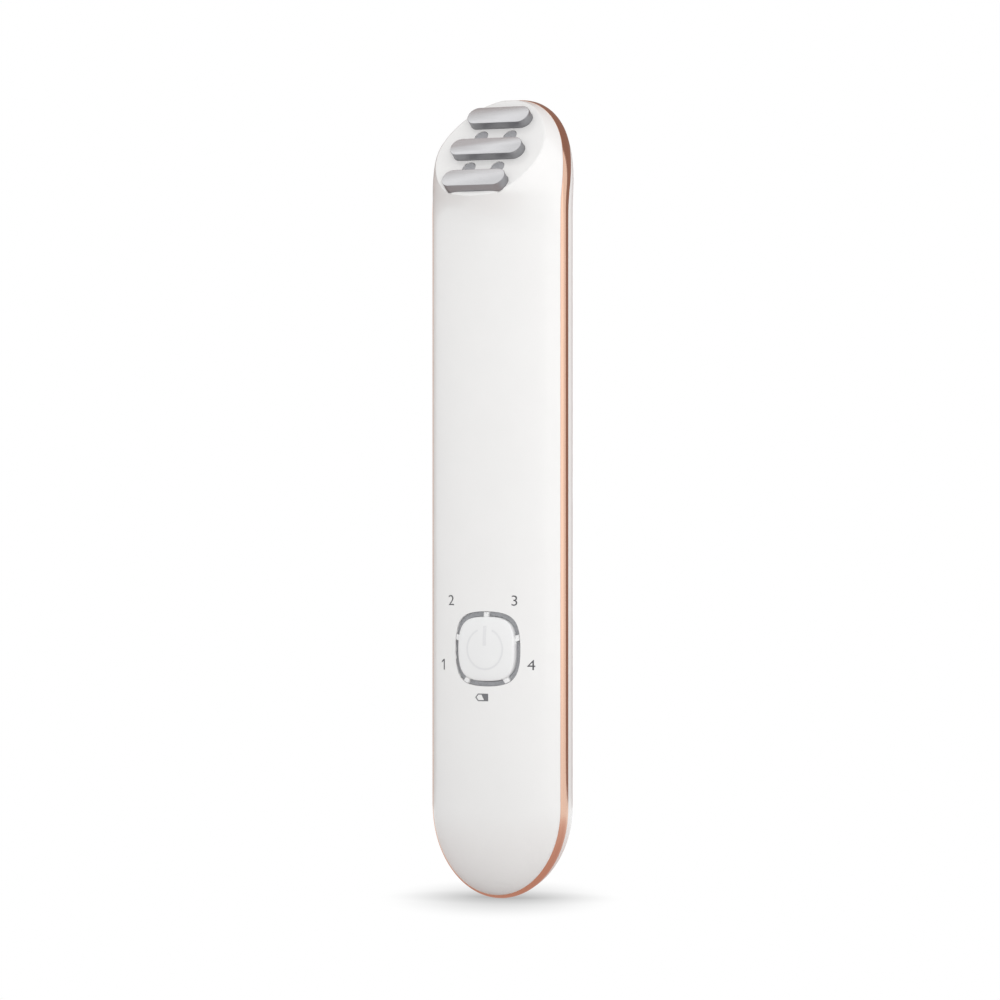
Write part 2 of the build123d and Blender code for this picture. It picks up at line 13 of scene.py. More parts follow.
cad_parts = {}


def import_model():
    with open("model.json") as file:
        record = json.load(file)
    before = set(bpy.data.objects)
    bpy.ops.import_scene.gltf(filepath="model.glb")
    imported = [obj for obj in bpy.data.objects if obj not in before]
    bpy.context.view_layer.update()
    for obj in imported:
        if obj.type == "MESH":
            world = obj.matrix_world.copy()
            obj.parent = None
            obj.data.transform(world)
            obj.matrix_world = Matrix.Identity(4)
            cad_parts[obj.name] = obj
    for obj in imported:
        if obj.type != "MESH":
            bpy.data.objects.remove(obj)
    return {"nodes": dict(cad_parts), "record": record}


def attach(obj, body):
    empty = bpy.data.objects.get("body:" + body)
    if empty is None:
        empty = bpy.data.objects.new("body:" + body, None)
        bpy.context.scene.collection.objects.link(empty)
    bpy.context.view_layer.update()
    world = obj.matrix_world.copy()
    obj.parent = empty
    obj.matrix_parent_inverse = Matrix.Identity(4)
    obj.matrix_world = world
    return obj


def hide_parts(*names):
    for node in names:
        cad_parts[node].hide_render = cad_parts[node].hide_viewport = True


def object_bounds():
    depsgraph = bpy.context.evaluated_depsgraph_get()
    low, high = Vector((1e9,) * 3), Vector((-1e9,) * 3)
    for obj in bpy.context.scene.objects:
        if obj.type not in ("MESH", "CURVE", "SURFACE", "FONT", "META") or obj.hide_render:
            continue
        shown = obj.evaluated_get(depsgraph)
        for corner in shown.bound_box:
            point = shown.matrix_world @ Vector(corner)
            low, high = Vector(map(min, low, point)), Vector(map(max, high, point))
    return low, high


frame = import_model()
CAD_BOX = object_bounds()

MM = 0.001
HOUSING = "housing"
BUTTON = "button"
LOG = logging.getLogger("wand")

Point = tuple[float, float]
Outline = Sequence[Point]
Curve = tuple[float, float, float, float]
Piece = bpy.types.Object
Socket = bpy.types.NodeSocket
Tree = bpy.types.NodeTree


def srgb(code: str) -> tuple[float, float, float, float]:
    """Turns an sRGB hex code into a linear colour.

    Args:
        code: Six hex digits.

    Returns:
        Linear red, green, blue and an alpha of 1.
    """
    channels = [int(code[i : i + 2], 16) / 255 for i in (0, 2, 4)]
    linear = [c / 12.92 if c <= 0.04045 else ((c + 0.055) / 1.055) ** 2.4 for c in channels]
    return linear[0], linear[1], linear[2], 1.0


def add_node(
    tree: Tree, kind: str, inputs: dict[str | int, object] | None = None, **settings: object
) -> bpy.types.Node:
    """Adds a node with its settings, its values and its links.

    Args:
        tree: The tree that takes the node.
        kind: The node's type, without the ShaderNode that all of them start with.
        inputs: Socket name or place to a value, or to the output socket that feeds it.
        **settings: Attributes of the node.

    Returns:
        The new node.
    """
    node = tree.nodes.new(f"ShaderNode{kind}")
    for name, value in settings.items():
        setattr(node, name, value)
    for name, value in (inputs or {}).items():
        if isinstance(value, Socket):
            tree.links.new(value, node.inputs[name])
        else:
            node.inputs[name].default_value = value
    return node


def fresh_tree(owner: bpy.types.Material | bpy.types.World) -> Tree:
    """Turns on the nodes of a material or a world and clears them.

    Args:
        owner: The material or the world.

    Returns:
        Its empty tree.
    """
    owner.use_nodes = True
    owner.node_tree.nodes.clear()
    return owner.node_tree


def remap(tree: Tree, value: Socket, start: Point, end: Point, run: str = "LINEAR") -> Socket:
    """Maps one range of values onto another.

    Args:
        tree: The tree that takes the node.
        value: What is mapped.
        start: The range that it comes in.
        end: The range that it goes to.
        run: How the map runs between its ends.

    Returns:
        The mapped value.
    """
    ends = {"From Min": start[0], "From Max": start[1], "To Min": end[0], "To Max": end[1]}
    node = add_node(tree, "MapRange", {"Value": value, **ends}, interpolation_type=run)
    return node.outputs["Result"]


def blend(tree: Tree, share: Socket, first: object, second: object, is_colour: bool = True) -> Socket:
    """Blends two colours or two numbers.

    Args:
        tree: The tree that takes the node.
        share: 0 for the first, 1 for the second.
        first: Colour, number or the socket that gives it.
        second: The other one.
        is_colour: Whether they are colours.

    Returns:
        The blend.
    """
    # The node holds its numbers' sockets before its colours', under the same names
    kind, low, high, result = ("RGBA", 6, 7, 2) if is_colour else ("FLOAT", 2, 3, 0)
    node = add_node(tree, "Mix", {0: share, low: first, high: second}, data_type=kind)
    return node.outputs[result]


def reckon(tree: Tree, operation: str, first: Socket, second: Socket) -> Socket:
    """Joins two values by one operation."""
    return add_node(tree, "Math", {0: first, 1: second}, operation=operation).outputs["Value"]


def finish_tree(tree: Tree, surface: Socket, kind: str = "OutputMaterial") -> None:
    """Sends a shader to the tree's output."""
    add_node(tree, kind, {"Surface": surface})


class Pattern(Enum):
    """How a surface was made, which sets the detail that its material draws."""

    MOULDED = "moulded"
    POLISHED = "polished"
    BRUSHED = "brushed"
    SPECKLED = "speckled"
    TRACED = "traced"
    WOUND = "wound"
    POROUS = "porous"
    CRINKLED = "crinkled"


@dataclass(frozen=True)
class Finish:
    """One finish of the wand.

    Attributes:
        name: The finish in a maker's words.
        colour: Main colour, sRGB hex.
        second: Second colour of the pattern, sRGB hex.
        pattern: How the surface was made.
        grain_mm: Size of the pattern's detail.
        relief_mm: Depth of its bump.
        roughness: Mean roughness.
        spread: How far the roughness strays from its mean.
        metallic: 1 for a metal.
        coat: Weight of a clear coat.
        stretch: Scale of the pattern along X, Y and Z.
        subsurface: Weight of the light that soaks in.
    """

    name: str
    colour: str
    second: str
    pattern: Pattern
    grain_mm: float
    relief_mm: float
    roughness: float
    spread: float = 0.03
    metallic: float = 0.0
    coat: float = 0.0
    stretch: tuple[float, float, float] = (1.0, 1.0, 1.0)
    subsurface: float = 0.0

    def pattern_socket(self, tree: Tree) -> Socket:
        """Draws the pattern as a value from 0 to 1.

        Args:
            tree: The material's tree.

        Returns:
            The socket that holds the value.
        """
        place = add_node(tree, "TexCoord").outputs["Object"]
        turned = add_node(tree, "Mapping", {"Vector": place, "Scale": self.stretch})
        scale = 1 / (self.grain_mm * MM)
        base = {"Vector": turned.outputs["Vector"], "Scale": scale}
        if self.pattern is Pattern.WOUND:
            turns = {"Scale": scale / 2, "Distortion": 0.4, "Detail": 1.0}
            wave = add_node(tree, "TexWave", {**base, **turns}, bands_direction="Z")
            return wave.outputs["Fac"]
        if self.pattern is Pattern.TRACED:
            mask, bare, track = (0, 0, 0, 1), (0.15, 0.15, 0.15, 1), (1, 1, 1, 1)
            tracks = {"Mortar Size": 0.12, "Color1": mask, "Color2": bare, "Mortar": track}
            return add_node(tree, "TexBrick", {**base, **tracks}).outputs["Color"]
        if self.pattern in (Pattern.SPECKLED, Pattern.POROUS):
            return add_node(tree, "TexVoronoi", base).outputs["Distance"]
        noise = add_node(tree, "TexNoise", {**base, "Detail": 3.0, "Roughness": 0.55})
        return noise.outputs["Fac"]

    def build(self) -> bpy.types.Material:
        """Makes the material.

        Returns:
            The node material, named for the finish.
        """
        material = bpy.data.materials.new(self.name)
        tree = fresh_tree(material)
        value = self.pattern_socket(tree)
        roughness = (self.roughness - self.spread, self.roughness + self.spread)
        relief = {"Height": value, "Distance": self.relief_mm * MM, "Strength": 1.0}
        shader = add_node(
            tree,
            "BsdfPrincipled",
            {
                "Base Color": blend(tree, value, srgb(self.colour), srgb(self.second)),
                "Roughness": remap(tree, value, (0.0, 1.0), roughness),
                "Normal": add_node(tree, "Bump", relief).outputs["Normal"],
                "Metallic": self.metallic,
                "IOR": 1.5,
                "Coat Weight": self.coat,
                "Coat Roughness": 0.16,
                "Subsurface Weight": self.subsurface,
                "Subsurface Radius": (1.0, 0.9, 0.8),
                "Subsurface Scale": 0.6 * MM,
            },
        )
        finish_tree(tree, shader.outputs["BSDF"])
        return material


# Glossy ABS out of a polished mould: nearly flat, with the faintest waviness in its reflections
WHITE_ABS = Finish("gloss_white_abs", "F1F0EF", "EDECEB", Pattern.MOULDED, 9.0, 0.012, 0.24, coat=0.25)
# The cap is moulded a touch cooler and less glossy than the shell
CAP_ABS = Finish("satin_white_abs", "F0F0F0", "ECECEC", Pattern.MOULDED, 6.0, 0.008, 0.32, coat=0.1)
# Plated band: mirror-like, with faint drawing marks along its run
ROSE_GOLD = Finish(
    "rose_gold_plating", "E8C4AF", "E0B8A2", Pattern.BRUSHED, 0.5, 0.0008, 0.14, 0.03, 1.0,
    stretch=(1.0, 1.0, 0.05),
)
# Polished plated steel: a soft, even sheen with the faintest marks along each bar
ELECTRODE = Finish(
    "polished_electrode_steel", "CBCBCD", "C8C8CA", Pattern.BRUSHED, 0.9, 0.0001, 0.27, 0.015, 1.0,
    stretch=(0.12, 1.0, 1.0),
)
# The bars' sides: rougher than the tops for a satin finish, and a darker grey than the tops, which is
# painted shade
ELECTRODE_SIDE_SHADE = Finish(
    "satin_electrode_side_painted_shade", "A6A6A9", "97979A", Pattern.BRUSHED, 0.3, 0.0012, 0.5, 0.05, 1.0,
    stretch=(1.0, 1.0, 0.12),
)
# Frosted polycarbonate light guides, filled with fine diffusing grains
WINDOW_GREY = Finish("frosted_grey_window", "B4B4B7", "9D9DA1", Pattern.SPECKLED, 0.35, 0.01, 0.34)
RING_GREY = Finish("frosted_grey_ring", "A7A8AB", "8E8F93", Pattern.SPECKLED, 0.4, 0.01, 0.4)
# Pad-printed inks: flat, thin and slightly grainy
DARK_INK = Finish("dark_grey_ink", "525356", "5C5D60", Pattern.SPECKLED, 0.2, 0.002, 0.6)
MIDDLE_INK = Finish("middle_grey_ink", "6F7073", "78797C", Pattern.SPECKLED, 0.2, 0.002, 0.6)
PALE_INK = Finish("pale_grey_ink", "E2E2E3", "E7E7E8", Pattern.SPECKLED, 0.2, 0.002, 0.5)

INNER_FINISHES: dict[str, Finish] = {
    # Glass-filled nylon: dark, with a fine sparked mould texture
    "inner_plastic": Finish("sparked_dark_nylon", "3E3F43", "4A4B50", Pattern.SPECKLED, 0.5, 0.02, 0.6),
    # Translucent silicone rubber: milky and soft
    "seal_silicone": Finish(
        "milky_silicone", "D4D3CE", "C8C7C2", Pattern.MOULDED, 1.2, 0.02, 0.5, subsurface=0.3
    ),
    # Glass epoxy board: solder mask over copper tracks
    "circuit_board": Finish("green_solder_mask", "14562F", "2C8150", Pattern.TRACED, 3.2, 0.03, 0.35),
    # Lamp package: cream body under a clear lens
    "lamp_body": Finish("clear_lamp_resin", "F2EBC8", "E6DDB0", Pattern.MOULDED, 0.6, 0.01, 0.2, coat=0.6),
    # Gold over nickel: warm and bright, lightly scuffed
    "contact_gold": Finish(
        "gold_plated_contact", "E7BE72", "D9AC5C", Pattern.POLISHED, 0.4, 0.003, 0.22, 0.05, 1.0
    ),
    # Zinc plated steel: a cool grey with turning marks
    "screw_steel": Finish(
        "zinc_plated_steel", "AEB0B3", "9C9EA2", Pattern.BRUSHED, 0.3, 0.004, 0.34, 0.05, 1.0
    ),
    # Epoxy moulding compound of a chip: matt black and finely grained
    "chip_black": Finish("black_epoxy_compound", "1E1F21", "2A2B2E", Pattern.SPECKLED, 0.3, 0.01, 0.55),
    # Unfilled nylon connector: cream and slightly waxy
    "connector_cream": Finish("cream_nylon", "E6DFC8", "DAD2B8", Pattern.MOULDED, 0.8, 0.01, 0.42),
    # Sintered ferrite: dark grey ceramic with fine pores
    "ferrite": Finish("sintered_ferrite", "2E2E31", "3C3C40", Pattern.POROUS, 0.4, 0.02, 0.5),
    # Enamelled copper wire, 0.4 mm, laid turn on turn
    "copper_winding": Finish(
        "enamelled_copper_wire", "8A3F1C", "D0753E", Pattern.WOUND, 0.4, 0.12, 0.3, 0.05, 1.0, coat=0.4
    ),
    # Shrunk vinyl sleeve of a capacitor: glossy dark blue
    "capacitor_sleeve": Finish("shrunk_blue_vinyl", "1B2550", "25306A", Pattern.MOULDED, 1.5, 0.02, 0.28),
    # Laminated foil pouch: silver, soft crinkles
    "cell_pouch": Finish(
        "crinkled_cell_foil", "C5C7CA", "B3B5B9", Pattern.CRINKLED, 3.5, 0.06, 0.36, 0.06, 0.9
    ),
    # Closed-cell foam: black, with open pores where it was cut
    "foam_pad": Finish("cut_black_foam", "26272A", "3A3B3F", Pattern.POROUS, 0.6, 0.15, 0.9),
    # Silicone wire sleeve: soft red
    "lead_sleeve": Finish("red_wire_sleeve", "A3231D", "B43129", Pattern.MOULDED, 0.7, 0.01, 0.45),
    # Polyimide film over copper tracks: amber with lengthwise lines
    "cable_film": Finish(
        "amber_polyimide_film", "B4681F", "D08A3C", Pattern.WOUND, 0.8, 0.02, 0.3, stretch=(1.0, 0.0, 0.0)
    ),
}


def dress(piece: Piece, material: bpy.types.Material) -> None:
    """Gives a piece one material in place of those that it has."""
    piece.data.materials.clear()
    piece.data.materials.append(material)


def select_only(piece: Piece) -> None:
    """Selects one piece and makes it active.

    Args:
        piece: The piece.
    """
    bpy.ops.object.select_all(action="DESELECT")
    piece.select_set(True)
    bpy.context.view_layer.objects.active = piece


def link(name: str, data: bpy.types.ID) -> Piece:
    """Puts an object with its data into the scene.

    Args:
        name: The object's name.
        data: Its mesh, curve, lamp or camera.

    Returns:
        The object.
    """
    piece = bpy.data.objects.new(name, data)
    bpy.context.scene.collection.objects.link(piece)
    return piece


def make(name: str, operator: Callable[..., object], **settings: object) -> Piece:
    """Makes a piece with an operator that adds a mesh.

    Args:
        name: The piece's name.
        operator: What adds the mesh.
        **settings: The operator's settings.

    Returns:
        The piece.
    """
    bpy.ops.object.select_all(action="DESELECT")
    operator(**settings)
    piece = bpy.context.object
    piece.name = name
    return piece


def edit_all(piece: Piece, *steps: Callable[[], object]) -> None:
    """Runs mesh operators on the whole of a piece, one after another.

    Args:
        piece: The piece.
        *steps: Calls of the operators.
    """
    select_only(piece)
    bpy.ops.object.mode_set(mode="EDIT")
    bpy.ops.mesh.select_all(action="SELECT")
    for step in steps:
        step()
    bpy.ops.object.mode_set(mode="OBJECT")


def apply_place(piece: Piece) -> None:
    """Puts a piece's place, turn and scale into its mesh."""
    select_only(piece)
    bpy.ops.object.transform_apply(location=True, rotation=True, scale=True)


def smooth(piece: Piece, angle: float) -> None:
    """Shades faces that meet at less than an angle, in degrees, as one surface."""
    select_only(piece)
    bpy.ops.object.shade_smooth_by_angle(angle=radians(angle))


def smooth_copy(node: str, name: str) -> Piece:
    """Copies a CAD node as one welded mesh with smooth shading.

    Args:
        node: The node's name.
        name: The copy's name.

    Returns:
        The copy.
    """
    piece = link(name, frame["nodes"][node].data.copy())
    edit_all(piece, lambda: bpy.ops.mesh.remove_doubles(threshold=0.0005 * MM))
    smooth(piece, 30)
    return piece


def settle(piece: Piece, body: str, slot: str, material: bpy.types.Material, *nodes: str) -> None:
    """Dresses a finished piece and ties it to the frame.

    Args:
        piece: The piece.
        body: The CAD body that it rides on.
        slot: The record's material slot; not used.
        material: Its material.
        *nodes: The CAD nodes that it stands for.
    """
    dress(piece, material)
    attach(piece, body)
    if nodes:
        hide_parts(*nodes)
    LOG.info("%s rides on %s, faces %d", piece.name, body, len(piece.data.polygons))


def bezier(t: float, values: Curve) -> float:
    """A cubic curve's value.

    Args:
        t: Share of its run.
        values: Its four points.

    Returns:
        The value.
    """
    a, b, c, d = values
    u = 1 - t
    return a * u**3 + 3 * b * u * u * t + 3 * c * u * t * t + d * t**3


def ease(value: float, low: float, high: float) -> float:
    """A smooth step from 0 at the low value to 1 at the high one."""
    t = min(1.0, max(0.0, (value - low) / (high - low)))
    return t * t * (3 - 2 * t)


def last_true(low: float, high: float, holds: Callable[[float], bool], halvings: int = 30) -> float:
    """Halves a range over and over to find the last value at which a test holds.

    Args:
        low: The range's start, where it holds.
        high: The range's end.
        holds: The test.
        halvings: How often the range is halved.

    Returns:
        That value.
    """
    for _ in range(halvings):
        middle = (low + high) / 2
        if holds(middle):
            low = middle
        else:
            high = middle
    return low


@dataclass
class WandForm:
    """The wand's outside form, in mm, with its foot at height 0 and its front crest at depth 0.

    A section is two cubic curves on each side. A curve's handle at the middle is its shoulder and the
    one at the parting line its cheek, as shares of its size.

    Attributes:
        length: Overall length.
        half_width: Half the grip's width.
        end_height: Height of the rounded foot and crown.
        seam_depth: Depth of the parting line on the grip.
        body_depth: Depth of the grip.
        rest_depth: Depth of the back's flat land, the frame's origin.
        bend_drop: Bend of the parting line, under the top.
        bend_angle: Its turn, degrees.
        bend_radius: Its radius.
        bend_spread: Its rise for each mm towards the front.
        bevel_drop: Where the bevelled face has the bevel depth, under the top.
        bevel_depth: Its depth there.
        bevel_angle: Its lean, degrees.
        neck_drop: Start of the neck, under the top.
        lip_reach: From the bevelled face's middle to its lip.
        hump: How soon the form levels out above the lip.
        arc: Shoulder and cheek of the grip's front, a quarter ellipse.
        lip_flattening: What they lose up to the lip.
        top_widening: What they gain from the lip to the top.
        rear_arc: Shoulder and cheek of the back.
        lip_margin: From the lip to the start of that gain.
        top_margin: From the bevel depth to its end.
        probe: Step up and down that finds a direction.
    """

    length: float = 170.0
    half_width: float = 16.1
    end_height: float = 19.3
    seam_depth: float = 5.75
    body_depth: float = 18.0
    rest_depth: float = 17.6
    bend_drop: float = 17.5
    bend_angle: float = 27.7
    bend_radius: float = 30.0
    bend_spread: float = 0.7
    bevel_drop: float = 11.6
    bevel_depth: float = 1.35
    bevel_angle: float = 37.5
    neck_drop: float = 29.0
    lip_reach: float = 11.9
    hump: float = 8.0
    arc: float = 0.552
    lip_flattening: Point = (0.052, 0.302)
    top_widening: Point = (0.35, 0.2)
    rear_arc: Point = (0.62, 0.6)
    lip_margin: float = 2.0
    top_margin: float = 5.0
    probe: float = 0.02

    @property
    def neck(self) -> float:
        """Height where the neck starts."""
        return self.length - self.neck_drop

    @property
    def lip(self) -> float:
        """Height of the bevelled face's lip."""
        return self.length - self.bevel_drop - self.lip_reach * cos(radians(self.bevel_angle))

    def place(self, x: float, y: float, z: float) -> Vector:
        """Turns a place on the form into the frame's metres."""
        return Vector((x, y - self.rest_depth, z - self.length / 2)) * MM

    def seam_y(self, z: float, shift: float = 0.0) -> float:
        """Depth of the parting line, or of a line beside it.

        Args:
            z: Height.
            shift: Distance behind the parting line on the grip.

        Returns:
            The line's depth.
        """
        turn = radians(self.bend_angle)
        corner = self.length - self.bend_drop - self.bend_spread * shift
        start = corner - self.bend_radius * tan(turn / 2)
        end = start + self.bend_radius * sin(turn)
        level = self.seam_depth + shift
        if z <= start:
            return level
        if z <= end:
            return level + self.bend_radius - sqrt(self.bend_radius**2 - (z - start) ** 2)
        return level + (z - corner) * tan(turn)

    def bevel_y(self, z: float) -> float:
        """Depth of the bevelled face at a height."""
        return self.bevel_depth + (z - self.length + self.bevel_drop) * tan(radians(self.bevel_angle))

    def crest_y(self, z: float) -> float:
        """Depth of the front crest before the bevel is cut.

        Args:
            z: Height.

        Returns:
            The crest's depth.
        """
        neck, lip = self.neck, self.lip
        rate = -self.bevel_y(lip) / (lip - neck) ** 2
        if z <= neck:
            return 0.0
        if z <= lip:
            return -rate * (z - neck) ** 2
        rise = tan(radians(self.bevel_angle)) + 2 * rate * (lip - neck)
        return self.bevel_y(z) - self.hump * (1 - exp(-(z - lip) * rise / self.hump))

    def curves(self, z: float) -> tuple[Curve, Curve, Curve, Curve]:
        """The right half of the section at a height.

        Args:
            z: Height.

        Returns:
            Widths and depths of the front curve's four points, then of the rear curve's, seam first.
        """
        centre = self.length - self.end_height
        seam, crest, back = self.seam_depth, 0.0, self.body_depth
        shoulder = cheek = self.arc
        share = 1.0
        if z < self.end_height:
            share = sqrt(max(0.0, 1 - (1 - z / self.end_height) ** 2))
            crest = seam * (1 - share)
            back = seam + (back - seam) * share
        elif z > self.neck:
            share = sqrt(max(0.0, 1 - (max(0.0, z - centre) / self.end_height) ** 2))
            seam, tip = self.seam_y(z), self.seam_y(self.length)
            back = tip + (back - tip) * share
            crest = self.crest_y(z)
            wide_from = self.lip + self.lip_margin
            at_lip = ease(z, self.neck, wide_from)
            at_top = ease(z, wide_from, self.length - self.bevel_drop + self.top_margin)
            shoulder += self.top_widening[0] * at_top - self.lip_flattening[0] * at_lip
            cheek += self.top_widening[1] * at_top - self.lip_flattening[1] * at_lip
        half = self.half_width * share
        front_y = seam - cheek * (seam - crest)
        rear_y = seam + self.rear_arc[1] * (back - seam)
        return (
            (half, half, shoulder * half, 0.0),
            (seam, front_y, crest, crest),
            (half, half, self.rear_arc[0] * half, 0.0),
            (seam, rear_y, back, back),
        )

    def width_at(self, z: float, y: float) -> float:
        """Half the form's width.

        Args:
            z: Height.
            y: Depth.

        Returns:
            The half width, or 0 beyond the crest or the back.
        """
        front_x, front_y, rear_x, rear_y = self.curves(z)
        xs, ys = (front_x, front_y) if y < front_y[0] else (rear_x, rear_y)
        depth = abs(y - ys[0])
        if depth >= abs(ys[3] - ys[0]):
            return 0.0
        return bezier(last_true(0.0, 1.0, lambda t: abs(bezier(t, ys) - ys[0]) < depth), xs)

    def on_curve(self, z: float, t: float, is_front: bool) -> tuple[float, float, float]:
        """A place on one of a section's curves.

        Args:
            z: Height of the section.
            t: Share of the curve's run.
            is_front: Whether it is the front curve.

        Returns:
            Width, depth and height of the place.
        """
        curves = self.curves(z)
        xs, ys = curves[:2] if is_front else curves[2:]
        return bezier(t, xs), bezier(t, ys), z

    def normal_at(self, spot: Vector) -> Vector | None:
        """Direction out of the form at a place on its sides.

        Args:
            spot: A place in the frame, m.

        Returns:
            The direction, or None where the place is off the sides.
        """
        x, y, z = spot.x / MM, spot.y / MM + self.rest_depth, spot.z / MM + self.length / 2
        step, turn = self.probe, 0.001
        least_size, most_off, sideways = 0.05, 0.12, 0.02
        if not step < z < self.length - step:
            return None
        front_x, front_y, rear_x, rear_y = self.curves(z)
        is_front = y < front_y[0]
        xs, ys = (front_x, front_y) if is_front else (rear_x, rear_y)
        depth, half = ys[3] - ys[0], xs[0]
        if half < least_size or abs(depth) < least_size:
            return None
        target = abs((y - ys[0]) / depth) * half

        def before(t: float) -> bool:
            """Whether the curve at this share of its run hasn't come as far round as the place."""
            rise = abs((bezier(t, ys) - ys[0]) / depth) * half
            return rise * abs(x) < target * bezier(t, xs)

        t = min(max(last_true(0.0, 1.0, before, halvings=24), 2 * turn), 1 - 2 * turn)
        if (Vector((abs(x), y, z)) - Vector(self.on_curve(z, t, is_front))).length > most_off:
            return None
        low, high = self.on_curve(z - step, t, is_front), self.on_curve(z + step, t, is_front)
        start, end = self.on_curve(z, t - turn, is_front), self.on_curve(z, t + turn, is_front)
        up = Vector([b - a for a, b in zip(low, high)])
        out = Vector([b - a for a, b in zip(start, end)]).cross(up).normalized()
        if out.x < 0 or (abs(out.x) < sideways and (out.y > 0) == is_front):
            out = -out
        return Vector((out.x if x >= 0 else -out.x, out.y, out.z))


@dataclass
class Shells:
    """The two shells and the trim band between them.

    Attributes:
        form: The outside form that all three follow.
        band_front: From the parting line to the band's front edge, mm.
        band_rear: From there to its rear edge, mm.
        band_proud: How far its middle stands out, mm.
        band_round: How far it drops to its edges, mm.
        band_root: How deep it reaches between the shells, mm.
        band_faces: Faces across it.
        band_steps: Stations along the foot, the straight run and the head, on one side.
    """

    form: WandForm
    band_front: float = 1.38
    band_rear: float = 1.15
    band_proud: float = 0.19
    band_round: float = 0.12
    band_root: float = 0.9
    band_faces: int = 14
    # The ring operator takes at most 256 stations, both sides together
    band_steps: tuple[int, int, int] = (34, 22, 66)

    @property
    def bevel_out(self) -> Vector:
        """Direction out of the bevelled face."""
        angle = radians(self.form.bevel_angle)
        return Vector((0, -cos(angle), sin(angle)))

    def true_shading(self, piece: Piece, inset: float = 0.0) -> None:
        """Shades the outside of a copy by the form itself, so that its triangles don't show.

        Args:
            piece: A welded copy of a CAD node.
            inset: How deep its outside lies under the form, mm.
        """
        mesh, bevel_out = piece.data, self.bevel_out
        same_plane, same_side = 0.9995, 0.8
        corners = [corner.vector.copy() for corner in mesh.corner_normals]
        flat = [face for face in mesh.polygons if face.normal.dot(bevel_out) > same_plane]
        on_bevel = {index for face in flat for index in face.vertices}
        for face in mesh.polygons:
            for loop in face.loop_indices:
                index = mesh.loops[loop].vertex_index
                if index in on_bevel and face.normal.dot(bevel_out) > same_side:
                    corners[loop] = bevel_out
                    continue
                out = self.form.normal_at(mesh.vertices[index].co + face.normal * inset * MM)
                if out is not None and out.dot(face.normal) > same_side:
                    corners[loop] = out
        mesh.normals_split_custom_set(corners)

    def band_column(self, z_share: float, shift: float) -> Vector:
        """A place on the right half of the band.

        Args:
            z_share: 0 at the foot's tip, 1 and 2 at the ends of the straight run, 3 at the top.
            shift: Distance behind the parting line, mm.

        Returns:
            The place on the form, mm.
        """
        form = self.form
        head = form.neck
        if z_share < 1:
            half_depth = form.seam_depth if shift < 0 else form.body_depth - form.seam_depth
            least = abs(shift) / half_depth
            share = sqrt(least**2 + (1 - least**2) * sin(z_share * pi / 2) ** 2)
            z = form.end_height * (1 - sqrt(max(0.0, 1 - share**2)))
        elif z_share <= 2:
            z = form.end_height + (head - form.end_height) * (z_share - 1)
        else:
            top = last_true(head, form.length, lambda z: form.width_at(z, form.seam_y(z, shift)) > 0)
            z = head + (top - head) * (1 - (3 - z_share) ** 2)
        y = form.seam_y(z, shift)
        return Vector((form.width_at(z, y), y, z))

    def band_row(self, z_share: float, side: int) -> list[Vector]:
        """Places across the band at one station, from front to rear, mm.

        Args:
            z_share: The station, as band_column takes it.
            side: 1 on the right, -1 on the left.

        Returns:
            The places.
        """
        step = (self.band_front + self.band_rear) / self.band_faces
        shifts = [i * step - self.band_front for i in range(self.band_faces + 1)]
        places = [self.band_column(z_share, shift) for shift in shifts]
        return [Vector((side * spot.x, spot.y, spot.z)) for spot in places]

    def band(self) -> Piece:
        """Models the trim band: a closed ring with a convex face and a root between the shells.

        Returns:
            The band.
        """
        shares = [start + i / steps for start, steps in enumerate(self.band_steps) for i in range(steps)]
        rows = [self.band_row(share, 1) for share in [*shares, 3.0]]
        rows += [self.band_row(share, -1) for share in reversed(shares[1:])]
        last = self.band_faces
        rings = []
        for here, row in enumerate(rows):
            before, after = rows[here - 1], rows[(here + 1) % len(rows)]
            outer, deep = [], []
            for place, spot in enumerate(row):
                across = 2 * place / last - 1
                over = row[min(place + 1, last)] - row[max(place - 1, 0)]
                out = over.cross(after[place] - before[place]).normalized()
                outer.append(spot + out * (self.band_proud - self.band_round * across**2))
                if place in (0, last):
                    deep.append(spot - out * self.band_root)
            rings.append([*outer, deep[1], deep[0]])
        sizes = {"major_segments": len(rings), "minor_segments": len(rings[0])}
        piece = make("rose_gold_band", bpy.ops.mesh.primitive_torus_add, **sizes)
        spots = [spot for ring in rings for spot in ring]
        for vertex, spot in zip(piece.data.vertices, spots):
            vertex.co = self.form.place(*spot)
        edit_all(piece, lambda: bpy.ops.mesh.normals_make_consistent(inside=False))
        smooth(piece, 50)
        return piece

    def build(self) -> Piece:
        """Makes the shells and the band.

        Returns:
            The front shell, which carries the printing.
        """
        white = WHITE_ABS.build()
        covers = {}
        for side in ("front", "rear"):
            cover = smooth_copy(f"{side}_shell", f"{side}_cover")
            self.true_shading(cover)
            settle(cover, HOUSING, "white_shell", white, f"{side}_shell")
            covers[side] = cover
        settle(self.band(), HOUSING, "rose_gold_trim", ROSE_GOLD.build(), "trim_band")
        return covers["front"]


